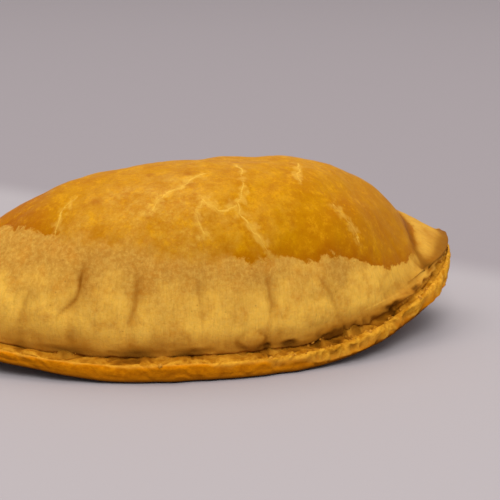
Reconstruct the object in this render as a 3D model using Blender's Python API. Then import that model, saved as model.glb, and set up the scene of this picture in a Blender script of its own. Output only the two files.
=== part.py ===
"""A meat pie: a round of shortcrust pastry folded over its filling, pressed shut and baked.

The pie lies on its base. The fold is behind (+Y), the pressed edge is in front (-Y), and the
two meet in an ear at each end (+X and -X). Seen from above it is a half-moon between two
ellipses. The dough above the pressed edge swells into a dome that overhangs it, and both ears
have curled up off the table in the oven. The pie is whole and shut, so it is one solid.

Every length below is in millimetres and every angle in degrees; the mesh is made in metres.
"""

import bmesh
import bpy
import numpy as np

MM = 0.001
NAME = "meat_pie"

# Seen from above: the middle that the columns of the mesh turn about, and the two ellipses.
CENTRE_Y = 0.4
HALF_LENGTH = 74.0
SEAL_SWEEP = 55.2
SEAL_MIDDLE = 18.6
FOLD_BACK = 25.8
FOLD_SWEEP = 84.0
FOLD_HALF_LENGTH = 160.0

# Its two corners are sharp at the foot of the dome and well rounded at the top. There the
# pressed side also passes into the folded one over a longer way.
CORNER_FOOT, CORNER_TOP = 0.5, 16.0
SEAL_END_FOOT, SEAL_END_TOP = 1.2, 14.0
CORNER_RISE = 5

# The dome: its height, and how square its shoulder (the first number of each pair) and how
# upright its foot are towards the fold, the front and the two ends.
HEIGHT = 47.6
PROFILE_FOLD = (2.6, 2.2)
PROFILE_FRONT = (2.56, 1.9)
PROFILE_RIGHT = (3.8, 0.48)
PROFILE_LEFT = (2.17, 1.51)

# The pressed edge: two layers of dough, below the undercut foot of the dome.
EDGE_THICKNESS = 5.8
EDGE_WIDTH = 3.6
EDGE_ROUNDING = 0.55
EDGE_WAVE = 0.35
LAYER_SEAM = 0.45
FOOT_HEIGHT = 9.5
GROOVE = 2.2

# The fold rolls in under the pie.
FOLD_HEIGHT = 12.0
FOLD_TUCK = 9.0

# The ears: the dome runs out here in a low ridge that ends on a thin corner.
EAR_FROM_FOLD, EAR_FULL_FOLD = 44.0, 66.0
EAR_FROM_SEAL, EAR_FULL_SEAL = 56.0, 71.0
EAR_WIDTH = 0.8
EAR_HEIGHT = 6.6
EAR_CROWN = 0.6
EAR_GROOVE = 0.5
EAR_SHOULDER = 3.02
EAR_TOE = 1.44

# How far each end has curled up, and the distance from the middle at which it leaves the table.
RIGHT_LIFT, RIGHT_LEAVES_AT = 16.6, 11.8
LEFT_LIFT, LEFT_LEAVES_AT = 4.6, 23.3

# Creases in the dome above its foot: angle round the pie, turn over each 10 mm of height, depth
# and the height at which each one has faded out.
CREASES = (
    (-174.0, 0.0, 0.5, 17.0),
    (-161.0, 0.3, 0.6, 22.0),
    (-147.9, 0.0, 1.1, 29.0),
    (-130.3, 0.0, 0.9, 27.0),
    (-103.0, -1.3, 0.6, 26.0),
    (-69.7, -3.7, 0.8, 25.0),
    (-43.4, -6.2, 0.7, 23.0),
    (-27.0, -2.0, 0.4, 17.0),
    (-12.0, -1.0, 0.5, 15.0),
)
CREASE_WIDTH = 1.5
FLUTE_WIDTH = 5.5
CREASE_BOTTOM = 6.0

# Where the dome's dough has slumped onto the pressed edge and fills the groove: angle and width.
BRIDGES = ((-150.0, 3.0), (-120.2, 3.5), (-101.2, 2.5), (-73.3, 3.0), (-53.3, 2.0), (-39.8, 6.0))
BRIDGE_FILL = 0.75

# One tongue of dough that stuck to the pressed edge near the middle of the front.
TONGUE_ANGLE = -83.3
TONGUE_HEIGHT = 8.4
TONGUE_HALF_WIDTH, TONGUE_HALF_DEPTH = 4.2, 2.6
TONGUE_RELIEF = 1.2

# Broad unevenness of the baked crust: wavelengths, and the highest rise.
LUMP_LENGTHS = (47.0, 31.0, 19.0, 13.0)
LUMP_RELIEF = 0.7
SEED = 17

# The mesh: columns round the pie, and rows from the dome's top to the middle of the base.
COLUMNS = 232
DOME_ROWS = 12
GROOVE_ROWS = 3
EDGE_ROWS = 8
BASE_ROWS = 3
BACK_SHARE = 0.6
ROWS = DOME_ROWS + GROOVE_ROWS + EDGE_ROWS + BASE_ROWS

CRUST_COLOUR = (0.61, 0.30, 0.045, 1.0)
CRUST_ROUGHNESS = 0.5


def mix(start, end, share):
    return start * (1 - share) + end * share


def ease(value, low, high):
    """0 below low, 1 above high, and a smooth rise between them."""
    share = np.clip((value - low) / (high - low), 0, 1)
    return share * share * (3 - 2 * share)


def soft_min(a, b, rounding):
    """The smaller of two lengths, with the corner where they cross rounded off."""
    least = np.minimum(a, b)
    near = np.exp((least - a) / rounding) + np.exp((least - b) / rounding)
    return least - rounding * np.log(near)


def hill(distance, width):
    """A rounded bump, 1 at no distance and nearly 0 at twice the width."""
    return np.exp(-((distance / width) ** 2))


def turn(angle, other):
    """The signed angle from other to angle, within half a turn."""
    return (angle - other + np.pi) % (2 * np.pi) - np.pi


def reach(angle, half_x, half_y, middle_y):
    """Distance from (0, CENTRE_Y) to the ellipse that stands at (0, middle_y), at each angle."""
    offset = CENTRE_Y - middle_y
    a = (np.cos(angle) / half_x) ** 2 + (np.sin(angle) / half_y) ** 2
    b = offset * np.sin(angle) / half_y**2
    c = (offset / half_y) ** 2 - 1
    return (np.sqrt(b * b - a * c) - b) / a


def outline(angle, out=1.0):
    """The pie's reach at each angle, and whether its side is pressed (1) or folded (0) there.

    out runs from 0 at the dome's top to 1 at its foot, where the two corners are sharpest.
    """
    corner = mix(CORNER_TOP, CORNER_FOOT, out**CORNER_RISE)
    seal_end = mix(SEAL_END_TOP, SEAL_END_FOOT, out**CORNER_RISE)
    seal = reach(angle, HALF_LENGTH, SEAL_SWEEP, SEAL_MIDDLE)
    fold = reach(angle, FOLD_HALF_LENGTH, FOLD_SWEEP, FOLD_BACK - FOLD_SWEEP)
    pressed = 1 / (1 + np.exp((seal - fold) / seal_end))
    return soft_min(seal, fold, corner), pressed


def column_angles():
    """Angles at even steps along the outline. The plain folded back gets fewer of them."""
    fine = np.linspace(-np.pi, np.pi, 8001)
    radius, pressed = outline(fine)
    steps = np.hypot(np.diff(radius * np.cos(fine)), np.diff(radius * np.sin(fine)))
    weight = steps * mix(BACK_SHARE, 1, pressed[1:])
    along = np.concatenate([[0], np.cumsum(weight)])
    return np.interp(np.arange(COLUMNS) / COLUMNS * along[-1], along, fine)


def waves(angle, counts, seed):
    """An uneven line round the pie: sine waves with whole numbers of turns and seeded phases."""
    draw = np.random.default_rng(seed)
    total = np.zeros_like(angle)
    for count in counts:
        total += np.sin(count * angle + draw.uniform(0, 2 * np.pi))
    return total / len(counts)


def groove_fill(angle):
    """How much of the groove is filled with slumped dough at each angle, from 0 to 1."""
    fill = 0.25 + 0.25 * waves(angle, (23, 37, 51), SEED)
    for place, width in BRIDGES:
        gap = turn(angle, np.radians(place)) * outline(angle)[0]
        fill = np.maximum(fill, hill(gap, width))
    return fill


def curl(x):
    """How far the pie has curled up off the table at each distance along it."""
    right = np.clip((x - RIGHT_LEAVES_AT) / (HALF_LENGTH - RIGHT_LEAVES_AT), 0, 2)
    left = np.clip((-x - LEFT_LEAVES_AT) / (HALF_LENGTH - LEFT_LEAVES_AT), 0, 2)
    return RIGHT_LIFT * right**2 + LEFT_LIFT * left**2


def ear_share(along, pressed):
    """How far a point belongs to an ear, from its distance along the pie: 0 in the middle."""
    from_fold = ease(along, EAR_FROM_FOLD, EAR_FULL_FOLD)
    from_seal = ease(along, EAR_FROM_SEAL, EAR_FULL_SEAL)
    return mix(from_fold, from_seal, pressed)


def dome_profile(angle, pressed, ear):
    """The shoulder and foot exponents of the dome's profile at each angle."""
    right = ease(np.cos(angle), -0.4, 0.4)
    side = np.cos(angle) ** 4
    shoulder, foot = (
        mix(mix(fold, front, pressed), mix(left, to_right, right), side)
        for fold, front, left, to_right in zip(
            PROFILE_FOLD, PROFILE_FRONT, PROFILE_LEFT, PROFILE_RIGHT
        )
    )
    return mix(shoulder, EAR_SHOULDER, ear), mix(1 / foot, EAR_TOE, ear)


def edge_path(step, width, groove, foot_height):
    """How far out of and up from the dome's foot each step round the pressed edge lies."""
    if step <= GROOVE_ROWS:
        bend = step / GROOVE_ROWS * np.pi / 2
        drop = foot_height - EDGE_THICKNESS * 0.96
        return -groove * (1 - np.cos(bend)), foot_height - drop * np.sin(bend)
    bend = np.pi / 2 - np.pi * (step - GROOVE_ROWS - 1) / (EDGE_ROWS - 1)
    half = EDGE_THICKNESS / 2
    across = np.abs(np.cos(bend)) ** EDGE_ROUNDING
    upward = np.sign(np.sin(bend)) * np.abs(np.sin(bend)) ** EDGE_ROUNDING
    seam = LAYER_SEAM * hill(bend + 0.25, 0.3)
    return width - half + half * across - seam, half + half * upward


def fold_path(step, foot_height):
    """The same round the fold, a quarter turn from the dome's foot in under the pie."""
    bend = step / (GROOVE_ROWS + EDGE_ROWS) * np.pi / 2
    return -FOLD_TUCK * (1 - np.cos(bend)), foot_height * (1 - np.sin(bend))


def plain_rows(angle):
    """Distance from the middle and height above the curled base of every row of points."""
    rim, pressed = outline(angle)
    ear = ear_share(np.abs(rim * np.cos(angle)), pressed)
    wave = EDGE_WAVE * waves(angle, (9, 14, 22, 31), SEED + 1) * (1 - ear)
    width = mix(EDGE_WIDTH + wave, EAR_WIDTH, ear) * pressed
    groove = mix(GROOVE * (1 - BRIDGE_FILL * groove_fill(angle)), EAR_GROOVE, ear)
    foot = rim + wave * pressed - width
    distance, height = [], []

    for row in range(DOME_ROWS + 1):
        out = np.sin(row / DOME_ROWS * np.pi / 2)
        full_reach, pressed_here = outline(angle, out)
        reached = (full_reach + (foot - rim) * out**3) * out
        ear_here = ear_share(np.abs(reached * np.cos(angle)), pressed_here)
        shoulder, toe = dome_profile(angle, pressed_here, ear_here)
        seal_height = mix(FOOT_HEIGHT, EAR_HEIGHT, ear_here)
        fold_height = mix(FOLD_HEIGHT, EAR_HEIGHT, ear_here)
        crown = mix(fold_height, seal_height, pressed_here)
        crown += EAR_CROWN * ear_here * np.sqrt(1 - out**8)
        distance.append(reached)
        height.append(crown + (HEIGHT - crown) * (1 - out**shoulder) ** toe)

    for step in range(1, GROOVE_ROWS + EDGE_ROWS + 1):
        seal_out, seal_up = edge_path(step, width, groove, seal_height)
        fold_out, fold_up = fold_path(step, fold_height)
        distance.append(foot + mix(fold_out, seal_out, pressed))
        height.append(mix(fold_up, seal_up, pressed))

    last = distance[-1]
    for row in range(1, BASE_ROWS + 1):
        distance.append(last * (1 - row / BASE_ROWS))
        height.append(0 * angle)
    return np.array(distance), np.array(height)


def crust_relief(angle, height, points):
    """How far the baked crust stands out of the plain form: creases, the tongue and lumps."""
    rim, pressed = outline(angle)
    relief = np.zeros_like(height)
    for place, lean, depth, top in CREASES:
        line = np.radians(place + lean * (height - CREASE_BOTTOM) / 10)
        gap = turn(angle, line) * rim
        along = ease(height, CREASE_BOTTOM, CREASE_BOTTOM + 4) * (1 - ease(height, 0.6 * top, top))
        relief -= depth * along * (0.7 * hill(gap, CREASE_WIDTH) + 0.5 * hill(gap, FLUTE_WIDTH))

    across = turn(angle, np.radians(TONGUE_ANGLE)) * rim / TONGUE_HALF_WIDTH
    upward = (height - TONGUE_HEIGHT) / TONGUE_HALF_DEPTH
    relief += TONGUE_RELIEF * hill(np.sqrt(across**4 + upward**4), 1) * pressed

    draw = np.random.default_rng(SEED)
    lumps = np.zeros_like(height)
    for length in LUMP_LENGTHS:
        direction = draw.normal(size=3)
        direction /= np.linalg.norm(direction)
        lumps += np.sin(2 * np.pi * (points @ direction) / length + draw.uniform(0, 6))
    lumps *= LUMP_RELIEF / len(LUMP_LENGTHS) * ease(height, 3, 12)
    return relief + lumps


def outward(points):
    """The direction that faces out of the surface at each point of the grid."""
    down = np.gradient(points, axis=0)
    around = np.roll(points, -1, axis=1) - np.roll(points, 1, axis=1)
    across = np.cross(down, around)
    across[0] = (0, 0, 1)
    across[-1] = (0, 0, -1)
    return across / np.linalg.norm(across, axis=2, keepdims=True)


def pie_grid():
    """The pie's surface as rows and columns of points, its origin below the box's middle."""
    angle = column_angles()
    distance, height = plain_rows(angle)
    x = distance * np.cos(angle)
    y = distance * np.sin(angle) + CENTRE_Y
    points = np.stack([x, y, height + curl(x)], axis=2)
    relief = crust_relief(angle, height, points)
    relief[0] = relief[0].mean()
    points = points + outward(points) * relief[:, :, None]
    low = points.min(axis=(0, 1))
    high = points.max(axis=(0, 1))
    return points - [(low[0] + high[0]) / 2, (low[1] + high[1]) / 2, low[2]]


def crust_material():
    """Shortcrust pastry, brushed with egg and baked golden brown."""
    material = bpy.data.materials.new("baked_shortcrust")
    material.use_nodes = True
    shader = material.node_tree.nodes["Principled BSDF"]
    shader.inputs["Base Color"].default_value = CRUST_COLOUR
    shader.inputs["Roughness"].default_value = CRUST_ROUGHNESS
    shader.inputs["Metallic"].default_value = 0.0
    material.diffuse_color = CRUST_COLOUR
    return material


def make_pie(collection):
    """A sphere, each of whose points is moved to the pie's point in the same row and column."""
    grid = pie_grid() * MM
    shape = bmesh.new()
    bmesh.ops.create_uvsphere(shape, u_segments=COLUMNS, v_segments=ROWS, radius=1)
    for vertex in shape.verts:
        x, y, z = vertex.co
        row = round(np.arccos(np.clip(z, -1, 1)) / np.pi * ROWS)
        column = round((np.arctan2(y, x) / (2 * np.pi) + 0.5) * COLUMNS) % COLUMNS
        vertex.co = grid[row, column]
    bmesh.ops.recalc_face_normals(shape, faces=shape.faces)
    mesh = bpy.data.meshes.new(NAME)
    shape.to_mesh(mesh)
    shape.free()
    mesh.shade_smooth()
    mesh.materials.append(crust_material())
    pie = bpy.data.objects.new(NAME, mesh)
    collection.objects.link(pie)
    return pie


def main():
    for thing in list(bpy.data.objects):
        bpy.data.objects.remove(thing, do_unlink=True)
    collection = bpy.data.collections.new("meat_pie_parts")
    bpy.context.scene.collection.children.link(collection)
    make_pie(collection)


main()
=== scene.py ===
# %% [markdown]
# # A folded meat pie, brushed with egg and baked
#
# The solid model fixes the size and the plain form of the pie. This lesson builds the crust that
# the eye sees: the same formula on a much finer grid, relief down to half a millimetre, a
# shortcrust material with egg glaze, and the crumbs along the pressed edge.

# %% Load the solid model
from functools import partial
from itertools import combinations

import bpy
import numpy as np
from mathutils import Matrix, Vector


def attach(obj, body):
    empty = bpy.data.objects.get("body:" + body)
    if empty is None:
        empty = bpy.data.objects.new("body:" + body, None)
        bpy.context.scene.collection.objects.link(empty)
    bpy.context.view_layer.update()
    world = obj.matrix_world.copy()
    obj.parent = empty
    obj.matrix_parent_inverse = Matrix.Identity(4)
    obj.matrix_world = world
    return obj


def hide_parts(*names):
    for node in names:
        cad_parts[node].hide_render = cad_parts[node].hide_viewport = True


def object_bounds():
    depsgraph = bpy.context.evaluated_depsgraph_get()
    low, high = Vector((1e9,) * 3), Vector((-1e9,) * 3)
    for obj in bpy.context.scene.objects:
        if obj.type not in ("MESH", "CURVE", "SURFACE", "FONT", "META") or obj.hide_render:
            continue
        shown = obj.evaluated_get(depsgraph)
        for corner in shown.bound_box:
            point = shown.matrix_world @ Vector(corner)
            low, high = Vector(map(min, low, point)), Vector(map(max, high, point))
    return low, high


MM = 0.001
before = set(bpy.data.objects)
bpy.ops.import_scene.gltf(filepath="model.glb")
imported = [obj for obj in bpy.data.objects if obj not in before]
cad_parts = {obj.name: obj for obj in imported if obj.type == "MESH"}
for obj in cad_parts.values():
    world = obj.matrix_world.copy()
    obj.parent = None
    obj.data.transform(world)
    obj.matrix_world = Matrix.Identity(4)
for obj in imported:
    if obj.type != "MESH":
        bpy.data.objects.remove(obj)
cad_low, cad_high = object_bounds()
print("solid pie in mm:", [round(side / MM, 1) for side in cad_high - cad_low])

# %% [markdown]
# ## The plan of the pie
#
# A round of dough folded in two has a half-moon plan: the pressed edge in front follows one
# ellipse, the fold behind follows a flatter one, and they meet in an ear at each end. It could be
# drawn as a curve by hand. Two ellipses say the same with a few lengths, and give the reach at any
# angle, which is what a grid of columns round the pie needs.

# %% Small helpers for curves
def mix(start, end, share):
    """start plus a share of the way to end."""
    return start * (1 - share) + end * share


def ease(value, low, high):
    """0 below low, 1 above high, 3s^2 - 2s^3 between them."""
    share = np.clip((value - low) / (high - low), 0, 1)
    return share * share * (3 - 2 * share)


def span(value, rise, full, fade, gone):
    """ease(rise, full) times 1 - ease(fade, gone): 1 between full and fade, 0 outside."""
    return ease(value, rise, full) * (1 - ease(value, fade, gone))


def hill(distance, width):
    """exp(-(distance / width)^2): 1 on the line and nearly 0 at twice the width."""
    return np.exp(-((distance / width) ** 2))


def turn(angle, other):
    """Signed angle from other to angle, within half a turn."""
    return (angle - other + np.pi) % (2 * np.pi) - np.pi


# %% The plan's lengths in mm, and the reach at each angle
CENTRE_Y = 0.4
HALF_LENGTH = 74.0
SEAL_SWEEP, SEAL_MIDDLE = 55.2, 18.6
FOLD_BACK, FOLD_SWEEP, FOLD_HALF_LENGTH = 25.8, 84.0, 160.0
CORNER_FOOT, CORNER_TOP = 0.5, 16.0
SEAL_END_FOOT, SEAL_END_TOP = 1.2, 14.0
CORNER_RISE = 5


def reach(angle, half_x, half_y, middle_y):
    """From (0, CENTRE_Y) to an ellipse about (0, middle_y): the positive root of its equation."""
    offset = CENTRE_Y - middle_y
    a = (np.cos(angle) / half_x) ** 2 + (np.sin(angle) / half_y) ** 2
    b = offset * np.sin(angle) / half_y**2
    c = (offset / half_y) ** 2 - 1
    return (np.sqrt(b * b - a * c) - b) / a


def outline(angle, out=1.0):
    """The shorter of the two reaches, its corner rounded, and whether the side is pressed there.

    The rounding is a soft minimum: least - k log(e^((least-a)/k) + e^((least-b)/k)). k is large at
    the dome's top (out = 0) and small at its foot (out = 1), so only the foot has sharp ears.
    """
    k = mix(CORNER_TOP, CORNER_FOOT, out**CORNER_RISE)
    seal_end = mix(SEAL_END_TOP, SEAL_END_FOOT, out**CORNER_RISE)
    seal = reach(angle, HALF_LENGTH, SEAL_SWEEP, SEAL_MIDDLE)
    fold = reach(angle, FOLD_HALF_LENGTH, FOLD_SWEEP, FOLD_BACK - FOLD_SWEEP)
    pressed = 1 / (1 + np.exp((seal - fold) / seal_end))
    least = np.minimum(seal, fold)
    near = np.exp((least - seal) / k) + np.exp((least - fold) / k)
    return least - k * np.log(near), pressed


# %% Columns at even steps along the outline
COLUMNS = 660
BACK_SHARE = 0.55


def column_angles():
    """Angles whose arc length along the outline, weighted down on the plain back, is even."""
    fine = np.linspace(-np.pi, np.pi, 8001)
    radius, pressed = outline(fine)
    steps = np.hypot(np.diff(radius * np.cos(fine)), np.diff(radius * np.sin(fine)))
    along = np.concatenate([[0], np.cumsum(steps * mix(BACK_SHARE, 1, pressed[1:]))])
    return np.interp(np.arange(COLUMNS) / COLUMNS * along[-1], along, fine)


angle = column_angles()
rim, pressed = outline(angle)
print("reach in mm:", rim.min().round(1), "to", rim.max().round(1))

# %% [markdown]
# ## The side of the pie
#
# Down each column the surface runs over the dome, in under its foot, round the pressed edge and
# across the base. The dome's height falls as (1 - out^shoulder)^toe, which can be as square or as
# bell-shaped as the dough is: upright in front, running out like a bell towards the ears. The
# pressed edge is a half-round bar of two dough layers, and towards the fold the bar gives way to a
# quarter round.

# %% Heights, exponents and the edge in mm
HEIGHT = 47.6
PROFILE_FOLD, PROFILE_FRONT = (2.6, 2.2), (2.56, 1.9)
PROFILE_RIGHT, PROFILE_LEFT = (3.8, 0.48), (2.17, 1.51)
EDGE_THICKNESS, EDGE_WIDTH, EDGE_ROUNDING, EDGE_WAVE = 5.8, 3.6, 0.55, 0.35
LAYER_SEAM, SEAM_BEND, SEAM_SPREAD, GROOVE_END = 0.45, -0.25, 0.3, 0.96
FOOT_HEIGHT, GROOVE = 9.5, 2.2
FOLD_HEIGHT, FOLD_TUCK = 12.0, 9.0
EAR_FROM_FOLD, EAR_FULL_FOLD = 44.0, 66.0
EAR_FROM_SEAL, EAR_FULL_SEAL = 56.0, 71.0
EAR_WIDTH, EAR_HEIGHT, EAR_CROWN, EAR_GROOVE = 0.8, 6.6, 0.6, 0.5
EAR_SHOULDER, EAR_TOE = 3.02, 1.44
RIGHT_LIFT, RIGHT_LEAVES_AT = 16.6, 11.8
LEFT_LIFT, LEFT_LEAVES_AT = 4.6, 23.3
# Where dough has slumped across the groove: degrees round the pie, -90 in front, and half width.
BRIDGES = ((-150.0, 3.0), (-120.2, 3.5), (-101.2, 2.5), (-73.3, 3.0), (-53.3, 2.0), (-39.8, 6.0))
BRIDGE_FILL, SLUMP, SLUMP_WAVES, EDGE_WAVES = 0.75, 0.25, (23, 37, 51), (9, 14, 22, 31)
SEED = 17
DOME_ROWS, GROOVE_ROWS, EDGE_ROWS, BASE_ROWS = 84, 14, 40, 8


def waves(angle, counts, seed):
    """The mean of sine waves that go a whole number of times round the pie, with seeded phases."""
    draw = np.random.default_rng(seed)
    return sum(np.sin(count * angle + draw.uniform(0, 2 * np.pi)) for count in counts) / len(counts)


def groove_fill(angle):
    """Share of the groove filled with slumped dough: uneven, and with a hill at each bridge."""
    fill = SLUMP + SLUMP * waves(angle, SLUMP_WAVES, SEED)
    for place, width in BRIDGES:
        fill = np.maximum(fill, hill(turn(angle, np.radians(place)) * outline(angle)[0], width))
    return fill


def curl(x):
    """Lift off the table: each end rises with the square of the distance past where it leaves."""
    right = np.clip((x - RIGHT_LEAVES_AT) / (HALF_LENGTH - RIGHT_LEAVES_AT), 0, 2)
    left = np.clip((-x - LEFT_LEAVES_AT) / (HALF_LENGTH - LEFT_LEAVES_AT), 0, 2)
    return RIGHT_LIFT * right**2 + LEFT_LIFT * left**2


def ear_share(along, pressed):
    """0 in the middle of the pie and 1 at its ears, by distance along it."""
    from_fold = ease(along, EAR_FROM_FOLD, EAR_FULL_FOLD)
    return mix(from_fold, ease(along, EAR_FROM_SEAL, EAR_FULL_SEAL), pressed)


def dome_profile(angle, pressed, ear):
    """Shoulder and toe exponents: front, fold, left and right blended by cos^4 of the angle."""
    right = ease(np.cos(angle), -0.4, 0.4)
    side = np.cos(angle) ** 4
    shoulder, foot = (
        mix(mix(fold, front, pressed), mix(left, to_right, right), side)
        for fold, front, left, to_right in zip(
            PROFILE_FOLD, PROFILE_FRONT, PROFILE_LEFT, PROFILE_RIGHT
        )
    )
    return mix(shoulder, EAR_SHOULDER, ear), mix(1 / foot, EAR_TOE, ear)


# %% The paths round the pressed edge and round the fold
def edge_path(step, width, groove, foot_height):
    """A quarter ellipse into the groove, then half a superellipse round the bar of dough."""
    if step <= GROOVE_ROWS:
        bend = step / GROOVE_ROWS * np.pi / 2
        drop = foot_height - EDGE_THICKNESS * GROOVE_END
        return -groove * (1 - np.cos(bend)), foot_height - drop * np.sin(bend)
    bend = np.pi / 2 - np.pi * (step - GROOVE_ROWS - 1) / (EDGE_ROWS - 1)
    half = EDGE_THICKNESS / 2
    across = np.abs(np.cos(bend)) ** EDGE_ROUNDING
    upward = np.sign(np.sin(bend)) * np.abs(np.sin(bend)) ** EDGE_ROUNDING
    seam = LAYER_SEAM * hill(bend - SEAM_BEND, SEAM_SPREAD)
    return width - half + half * across - seam, half + half * upward


def fold_path(step, foot_height):
    """A quarter ellipse from the dome's foot in under the pie."""
    bend = step / (GROOVE_ROWS + EDGE_ROWS) * np.pi / 2
    return -FOLD_TUCK * (1 - np.cos(bend)), foot_height * (1 - np.sin(bend))


def plain_rows(angle, rim, pressed):
    """Distance from the middle and height above the curled base, for every row and column."""
    ear = ear_share(np.abs(rim * np.cos(angle)), pressed)
    wave = EDGE_WAVE * waves(angle, EDGE_WAVES, SEED + 1) * (1 - ear)
    width = mix(EDGE_WIDTH + wave, EAR_WIDTH, ear) * pressed
    groove = mix(GROOVE * (1 - BRIDGE_FILL * groove_fill(angle)), EAR_GROOVE, ear)
    foot = rim + wave * pressed - width
    distance, height = [], []
    for row in range(DOME_ROWS + 1):
        out = np.sin(row / DOME_ROWS * np.pi / 2)
        full_reach, pressed_here = outline(angle, out)
        reached = (full_reach + (foot - rim) * out**3) * out
        ear_here = ear_share(np.abs(reached * np.cos(angle)), pressed_here)
        shoulder, toe = dome_profile(angle, pressed_here, ear_here)
        seal_height = mix(FOOT_HEIGHT, EAR_HEIGHT, ear_here)
        fold_height = mix(FOLD_HEIGHT, EAR_HEIGHT, ear_here)
        crown = mix(fold_height, seal_height, pressed_here)
        crown += EAR_CROWN * ear_here * np.sqrt(1 - out**8)
        distance.append(reached)
        height.append(crown + (HEIGHT - crown) * (1 - out**shoulder) ** toe)
    for step in range(1, GROOVE_ROWS + EDGE_ROWS + 1):
        seal_out, seal_up = edge_path(step, width, groove, seal_height)
        fold_out, fold_up = fold_path(step, fold_height)
        distance.append(foot + mix(fold_out, seal_out, pressed))
        height.append(mix(fold_up, seal_up, pressed))
    last = distance[-1]
    for row in range(1, BASE_ROWS + 1):
        distance.append(last * (1 - row / BASE_ROWS))
        height.append(0 * angle)
    return np.array(distance), np.array(height)


# %% Towards the ears the dough closes over the groove
CLOSES_RIGHT, CLOSED_RIGHT = 38.0, 50.0
CLOSES_LEFT, CLOSED_LEFT = 58.0, 68.0
CLOSED_ABOVE, CLOSED_BELOW, CLOSED_SHARE = 5, 3, 0.9


def closed_over(points, share):
    """The rows over the groove drawn towards straight lines across it, by each column's share."""
    first, last = DOME_ROWS - CLOSED_ABOVE, DOME_ROWS + GROOVE_ROWS + CLOSED_BELOW
    along = np.linspace(0, 1, last - first + 1)[:, None, None]
    straight = mix(points[first], points[last], along)
    points = points.copy()
    points[first : last + 1] = mix(points[first : last + 1], straight, share[:, None])
    return points


distance, height = plain_rows(angle, rim, pressed)
plain = np.stack(
    [distance * np.cos(angle), distance * np.sin(angle) + CENTRE_Y, height], axis=2
)
rim_x = rim * np.cos(angle)
closed = np.maximum(
    ease(rim_x, CLOSES_RIGHT, CLOSED_RIGHT), ease(-rim_x, CLOSES_LEFT, CLOSED_LEFT)
)
plain = closed_over(plain, CLOSED_SHARE * closed * pressed)
plain[:, :, 2] += curl(plain[:, :, 0])
print("grid:", plain.shape[:2], "highest point in mm:", plain[:, :, 2].max().round(1))

# %% [markdown]
# ## Uneven dough
#
# Dough has no straight line in it. A sum of sines gives broad lumps, but fine ones would show a
# beat. Lattice noise gives unevenness of any size: a random value at each corner of a cubic
# lattice, blended across the cell. It is worked out for all the points at once.

# %% Lattice noise
def noise(cell, step, points=plain):
    """Values from -1 to 1: seeded random corner values, blended by 3w^2 - 2w^3 along each axis."""
    table = np.random.default_rng(SEED + step).permutation(256)
    scaled = points / np.asarray(cell, float)
    corner = np.floor(scaled).astype(np.int64)
    weight = scaled - corner
    weight = weight * weight * (3 - 2 * weight)
    total = np.zeros(points.shape[:-1])
    for near in np.ndindex(2, 2, 2):
        x, y, z = (corner[..., axis] + near[axis] for axis in range(3))
        value = table[(table[(table[x & 255] + y) & 255] + z) & 255] / 127.5 - 1
        share = 1.0
        for axis in range(3):
            share = share * (weight[..., axis] if near[axis] else 1 - weight[..., axis])
        total += value * share
    return total


def outward(points):
    """Unit normals: the cross product of the grid's steps down and round, and Z at the poles."""
    down = np.gradient(points, axis=0)
    around = np.roll(points, -1, axis=1) - np.roll(points, 1, axis=1)
    across = np.cross(down, around)
    across[0] = (0, 0, 1)
    across[-1] = (0, 0, -1)
    return across / np.linalg.norm(across, axis=2, keepdims=True)


# %% Distances over the plain surface, in mm
to_right, from_middle = plain[:, :, 0], np.abs(plain[:, :, 0])


def round_from(degrees):
    """Distance along the outline from a place in degrees round the pie."""
    return turn(angle, np.radians(degrees)) * rim


def about(place, width):
    """hill() of the distance from a point."""
    return hill(np.linalg.norm(plain - place, axis=2), width)


# %% [markdown]
# ## Creases, the tongue and the lumps
#
# The dome's dough has sunk in a few creases above the pressed edge, and near the middle of the
# front one tongue of dough has stuck down over the groove. Both could be sculpted. As hills along
# a line they stay editable, and the solid model has the same ones.

# %% Relief that the solid model has too
# Degrees round the pie, lean in degrees for each 10 mm of height, depth and top in mm.
CREASES = (
    (-174.0, 0.0, 0.5, 17.0),
    (-161.0, 0.3, 0.6, 22.0),
    (-147.9, 0.0, 1.1, 29.0),
    (-130.3, 0.0, 0.9, 27.0),
    (-103.0, -1.3, 0.6, 26.0),
    (-69.7, -3.7, 0.8, 25.0),
    (-43.4, -6.2, 0.7, 23.0),
    (-27.0, -2.0, 0.4, 17.0),
    (-12.0, -1.0, 0.5, 15.0),
)
CREASE_WIDTH, FLUTE_WIDTH, CREASE_BOTTOM, CREASE_RAMP, CREASE_FADE = 1.5, 5.5, 6.0, 4.0, 0.6
TONGUE_ANGLE, TONGUE_HEIGHT = -83.3, 8.4
TONGUE_HALF_WIDTH, TONGUE_HALF_DEPTH, TONGUE_RELIEF = 3.4, 2.3, 0.8
TONGUE_RAGGED, TONGUE_GRAIN = 0.18, 2.2
LUMP_LENGTHS, LUMP_RELIEF, LUMPS_FROM, LUMPS_FULL = (47.0, 31.0, 19.0, 13.0), 0.7, 3, 12


def crease_gap(place, lean, bend):
    """Distance in mm round the pie from each point to a crease that leans as it climbs."""
    return round_from(place + lean * (height - CREASE_BOTTOM) / 10) + bend


def tongue_reach():
    """Distance from the tongue's middle over its half width or depth: 1 on its uneven outline."""
    across = round_from(TONGUE_ANGLE) / TONGUE_HALF_WIDTH
    upward = (height - TONGUE_HEIGHT) / TONGUE_HALF_DEPTH
    return np.hypot(across, upward) + TONGUE_RAGGED * noise(TONGUE_GRAIN, 7)


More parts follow.
